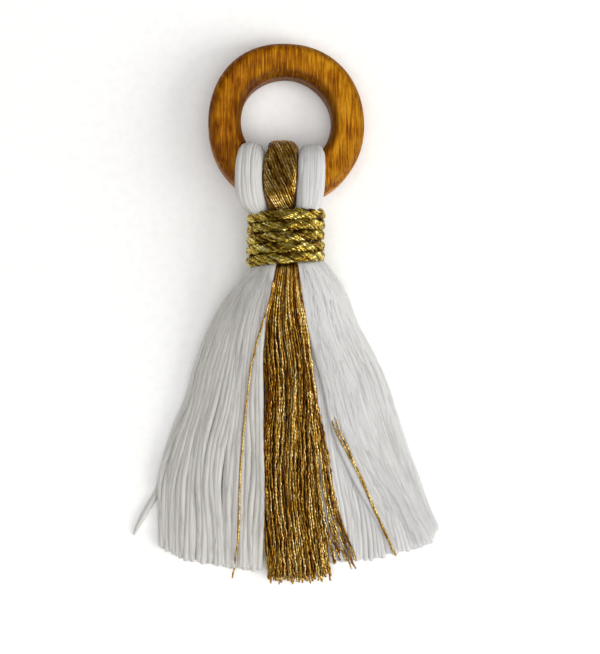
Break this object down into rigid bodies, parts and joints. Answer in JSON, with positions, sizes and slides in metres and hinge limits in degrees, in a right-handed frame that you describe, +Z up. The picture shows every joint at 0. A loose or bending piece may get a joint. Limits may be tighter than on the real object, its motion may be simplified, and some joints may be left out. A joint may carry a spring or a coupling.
{
  "type": "yarn tassel on a wooden ring",
  "caption": "Soft white and gold yarn tassel folded over a turned wooden ring, bound at the neck with gold cord and spread in a flat fringe.",
  "frame": {"origin": "middle of the base of the bounding box, on the surface that the tassel lies on", "axes": "+X across the tassel, +Y along it from the fringe to the ring, +Z up from the surface to the viewer"},
  "size_m": [0.0903, 0.1575, 0.0201],
  "materials": {
    "varnished_wood": "turned hardwood under a warm semi-gloss varnish",
    "white_cotton": "soft white cotton yarn, loosely spun, matt",
    "gold_metallic_thread": "twisted gold metallic thread, glinting",
    "gold_metallic_cord": "plied gold metallic cord, glinting"
  },
  "bodies": {
    "root": {"wood_ring": "varnished_wood", "white_yarn_left": "white_cotton", "white_yarn_right": "white_cotton", "gold_thread": "gold_metallic_thread", "gold_binding": "gold_metallic_cord"}
  },
  "joints": []
}
